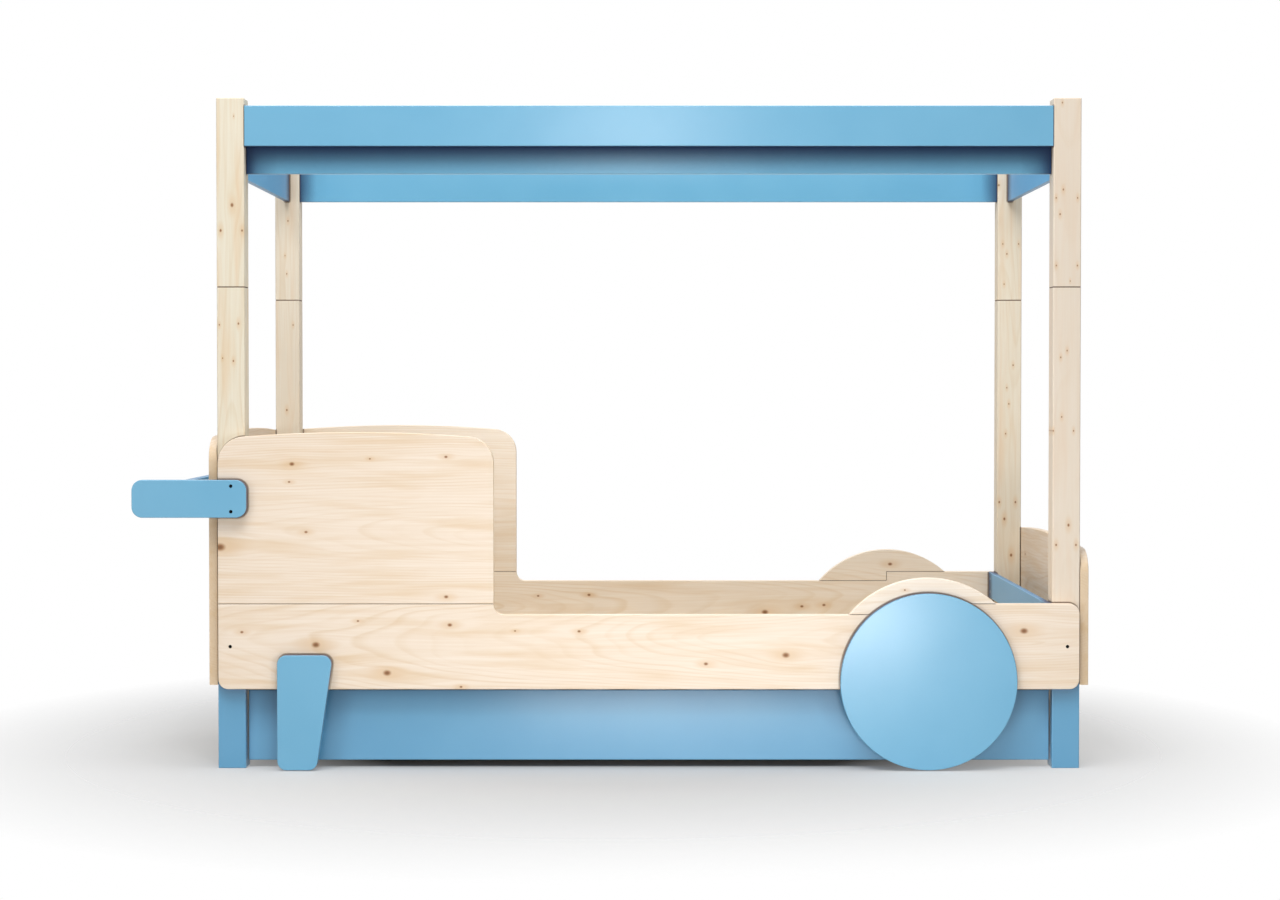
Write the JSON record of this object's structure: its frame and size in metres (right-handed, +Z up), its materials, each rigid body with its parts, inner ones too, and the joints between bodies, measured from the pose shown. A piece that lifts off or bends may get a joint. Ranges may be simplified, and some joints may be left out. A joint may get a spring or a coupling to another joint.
{
  "type": "canopy bed",
  "caption": "Child's canopy bed shaped like a truck, in pale wood and blue lacquer, with posts and a canopy frame, a bumper, wheel discs and a roll-out drawer.",
  "frame": {"origin": "on the floor, below the middle of the whole bed's box", "axes": "+X along the bed to the tail, +Y across it to the rear side, +Z up; the drawer comes out to -Y"},
  "size_m": [2.405, 1.0082, 1.69],
  "materials": {
    "knotty_spruce": "clear satin lacquer over planed knotty spruce",
    "plain_spruce": "planed, bare",
    "blue_lacquer": "sprayed satin lacquer on fibreboard",
    "birch_plywood": "sanded",
    "beech_dowel": "turned, bare",
    "blackened_steel": "blackened",
    "zinc_plated_steel": "zinc plated",
    "castor_plastic": "moulded"
  },
  "bodies": {
    "bed_frame": {"bumper_arm_front": "blue_lacquer", "bumper_arm_rear": "blue_lacquer", "bumper_board": "blue_lacquer", "bumper_bolts": "blackened_steel", "canopy_fascia_front": "blue_lacquer", "canopy_fascia_rear": "blue_lacquer", "canopy_rail_front": "blue_lacquer", "canopy_rail_nose": "blue_lacquer", "canopy_rail_rear": "blue_lacquer", "canopy_rail_tail": "blue_lacquer", "dowels": "beech_dowel", "end_board_bolts": "blackened_steel", "end_rail_nose": "blue_lacquer", "end_rail_tail": "blue_lacquer", "fender_front": "knotty_spruce", "fender_rear": "knotty_spruce", "hood_panel_front": "knotty_spruce", "hood_panel_rear": "knotty_spruce", "leg_front_nose": "blue_lacquer", "leg_front_tail": "blue_lacquer", "leg_rear_nose": "blue_lacquer", "leg_rear_tail": "blue_lacquer", "nose_board": "knotty_spruce", "plate_rear": "blue_lacquer", "post_front_nose": "knotty_spruce", "post_front_tail": "knotty_spruce", "post_rear_nose": "knotty_spruce", "post_rear_tail": "knotty_spruce", "post_top_front_nose": "knotty_spruce", "post_top_front_tail": "knotty_spruce", "post_top_rear_nose": "knotty_spruce", "post_top_rear_tail": "knotty_spruce", "side_board_bolts": "blackened_steel", "side_board_front": "knotty_spruce", "side_board_rear": "knotty_spruce", "slat_batten_front": "plain_spruce", "slat_batten_rear": "plain_spruce", "slats": "plain_spruce", "tail_board": "knotty_spruce", "wheel_disc_rear": "blue_lacquer", "wood_screws": "zinc_plated_steel"},
    "drawer": {"drawer_front": "blue_lacquer", "drawer_back": "blue_lacquer", "drawer_end_nose": "plain_spruce", "drawer_end_tail": "plain_spruce", "drawer_bottom": "birch_plywood", "drawer_bearers": "plain_spruce", "drawer_dowels": "beech_dowel", "wheel_disc_front": "blue_lacquer", "plate_front": "blue_lacquer", "wheel_spacer": "blue_lacquer", "plate_spacer": "blue_lacquer", "pull_screws": "zinc_plated_steel", "castor_brackets": "zinc_plated_steel", "castor_axles": "zinc_plated_steel"},
    "castor_wheel_front_nose": {"castor_wheel_front_nose": "castor_plastic"},
    "castor_wheel_front_tail": {"castor_wheel_front_tail": "castor_plastic"},
    "castor_wheel_rear_nose": {"castor_wheel_rear_nose": "castor_plastic"},
    "castor_wheel_rear_tail": {"castor_wheel_rear_tail": "castor_plastic"}
  },
  "joints": [
    {"name": "drawer_slide", "type": "slide", "parent": "bed_frame", "child": "drawer", "axis": [0, -1, 0], "range_m": [0, 0.8]},
    {"name": "castor_roll_front_nose", "type": "hinge", "parent": "drawer", "child": "castor_wheel_front_nose", "pos_m": [-0.73898, -0.33585, 0.018], "axis": [1, 0, 0], "continuous": true},
    {"name": "castor_roll_front_tail", "type": "hinge", "parent": "drawer", "child": "castor_wheel_front_tail", "pos_m": [0.92398, -0.33585, 0.018], "axis": [1, 0, 0], "continuous": true},
    {"name": "castor_roll_rear_nose", "type": "hinge", "parent": "drawer", "child": "castor_wheel_rear_nose", "pos_m": [-0.73898, 0.33615, 0.018], "axis": [1, 0, 0], "continuous": true},
    {"name": "castor_roll_rear_tail", "type": "hinge", "parent": "drawer", "child": "castor_wheel_rear_tail", "pos_m": [0.92398, 0.33615, 0.018], "axis": [1, 0, 0], "continuous": true}
  ],
  "couplings": [
    {"joint": "castor_roll_front_nose", "follows": "drawer_slide", "rad_per_m": 55.556},
    {"joint": "castor_roll_front_tail", "follows": "drawer_slide", "rad_per_m": 55.556},
    {"joint": "castor_roll_rear_nose", "follows": "drawer_slide", "rad_per_m": 55.556},
    {"joint": "castor_roll_rear_tail", "follows": "drawer_slide", "rad_per_m": 55.556}
  ]
}
